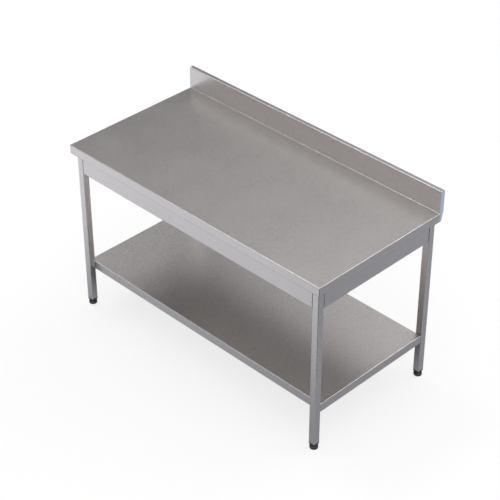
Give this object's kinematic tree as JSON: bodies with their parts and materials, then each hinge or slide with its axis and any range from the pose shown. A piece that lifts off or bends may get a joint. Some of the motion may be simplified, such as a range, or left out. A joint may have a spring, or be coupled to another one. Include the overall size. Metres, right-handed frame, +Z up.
{
  "type": "stainless work table",
  "caption": "Stainless steel kitchen work table with a rear upstand, a folded lower shelf between square tube legs, and round black screw-adjusted feet.",
  "frame": {"origin": "on the floor, under the middle of the overall length and depth", "axes": "+X along the worktop to the right as seen from the front, +Y to the rear upstand, +Z up"},
  "size_m": [1.4, 0.7, 0.91],
  "materials": {
    "stainless_sheet": "satin, fine even grain",
    "zinc_hardware": "bright zinc plated",
    "black_plastic": "fine matt moulding",
    "gloss_black_plastic": "glossy moulding",
    "lavender_cap": "smooth satin moulding",
    "laminated_board": "pale grey melamine face, chipboard edge"
  },
  "bodies": {
    "table": {"worktop_sheet": "stainless_sheet", "worktop_board": "laminated_board", "upstand_cap_left": "lavender_cap", "upstand_cap_right": "lavender_cap", "apron_front": "stainless_sheet", "apron_rear": "stainless_sheet", "apron_left": "stainless_sheet", "apron_right": "stainless_sheet", "shelf_sheet": "stainless_sheet", "shelf_stiffener": "stainless_sheet", "frame_bolts": "zinc_hardware", "frame_rivet_nuts": "zinc_hardware", "shelf_bolts": "zinc_hardware", "shelf_rivet_nuts": "zinc_hardware", "board_screws": "zinc_hardware", "leg_front_left": "stainless_sheet", "shelf_bracket_front_left": "stainless_sheet", "foot_insert_front_left": "black_plastic", "foot_nut_front_left": "zinc_hardware", "leg_front_right": "stainless_sheet", "shelf_bracket_front_right": "stainless_sheet", "foot_insert_front_right": "black_plastic", "foot_nut_front_right": "zinc_hardware", "leg_rear_left": "stainless_sheet", "shelf_bracket_rear_left": "stainless_sheet", "foot_insert_rear_left": "black_plastic", "foot_nut_rear_left": "zinc_hardware", "leg_rear_right": "stainless_sheet", "shelf_bracket_rear_right": "stainless_sheet", "foot_insert_rear_right": "black_plastic", "foot_nut_rear_right": "zinc_hardware"},
    "front_left_sole": {"foot_sole_front_left": "black_plastic"},
    "front_left_foot": {"foot_front_left": "gloss_black_plastic", "foot_screw_front_left": "zinc_hardware"},
    "front_right_sole": {"foot_sole_front_right": "black_plastic"},
    "front_right_foot": {"foot_front_right": "gloss_black_plastic", "foot_screw_front_right": "zinc_hardware"},
    "rear_left_sole": {"foot_sole_rear_left": "black_plastic"},
    "rear_left_foot": {"foot_rear_left": "gloss_black_plastic", "foot_screw_rear_left": "zinc_hardware"},
    "rear_right_sole": {"foot_sole_rear_right": "black_plastic"},
    "rear_right_foot": {"foot_rear_right": "gloss_black_plastic", "foot_screw_rear_right": "zinc_hardware"}
  },
  "joints": [
    {"name": "front_left_foot_height", "type": "slide", "parent": "table", "child": "front_left_sole", "axis": [0, 0, -1], "range_m": [0, 0.024]},
    {"name": "front_left_foot_turn", "type": "hinge", "parent": "front_left_sole", "child": "front_left_foot", "pos_m": [-0.665, -0.315, 0], "axis": [0, 0, -1], "range_deg": [0, 5760.01]},
    {"name": "front_right_foot_height", "type": "slide", "parent": "table", "child": "front_right_sole", "axis": [0, 0, -1], "range_m": [0, 0.024]},
    {"name": "front_right_foot_turn", "type": "hinge", "parent": "front_right_sole", "child": "front_right_foot", "pos_m": [0.665, -0.315, 0], "axis": [0, 0, -1], "range_deg": [0, 5760.01]},
    {"name": "rear_left_foot_height", "type": "slide", "parent": "table", "child": "rear_left_sole", "axis": [0, 0, -1], "range_m": [0, 0.024]},
    {"name": "rear_left_foot_turn", "type": "hinge", "parent": "rear_left_sole", "child": "rear_left_foot", "pos_m": [-0.665, 0.315, 0], "axis": [0, 0, -1], "range_deg": [0, 5760.01]},
    {"name": "rear_right_foot_height", "type": "slide", "parent": "table", "child": "rear_right_sole", "axis": [0, 0, -1], "range_m": [0, 0.024]},
    {"name": "rear_right_foot_turn", "type": "hinge", "parent": "rear_right_sole", "child": "rear_right_foot", "pos_m": [0.665, 0.315, 0], "axis": [0, 0, -1], "range_deg": [0, 5760.01]}
  ],
  "couplings": [
    {"joint": "front_left_foot_turn", "follows": "front_left_foot_height", "rad_per_m": 4188.8},
    {"joint": "front_right_foot_turn", "follows": "front_right_foot_height", "rad_per_m": 4188.8},
    {"joint": "rear_left_foot_turn", "follows": "rear_left_foot_height", "rad_per_m": 4188.8},
    {"joint": "rear_right_foot_turn", "follows": "rear_right_foot_height", "rad_per_m": 4188.8}
  ]
}
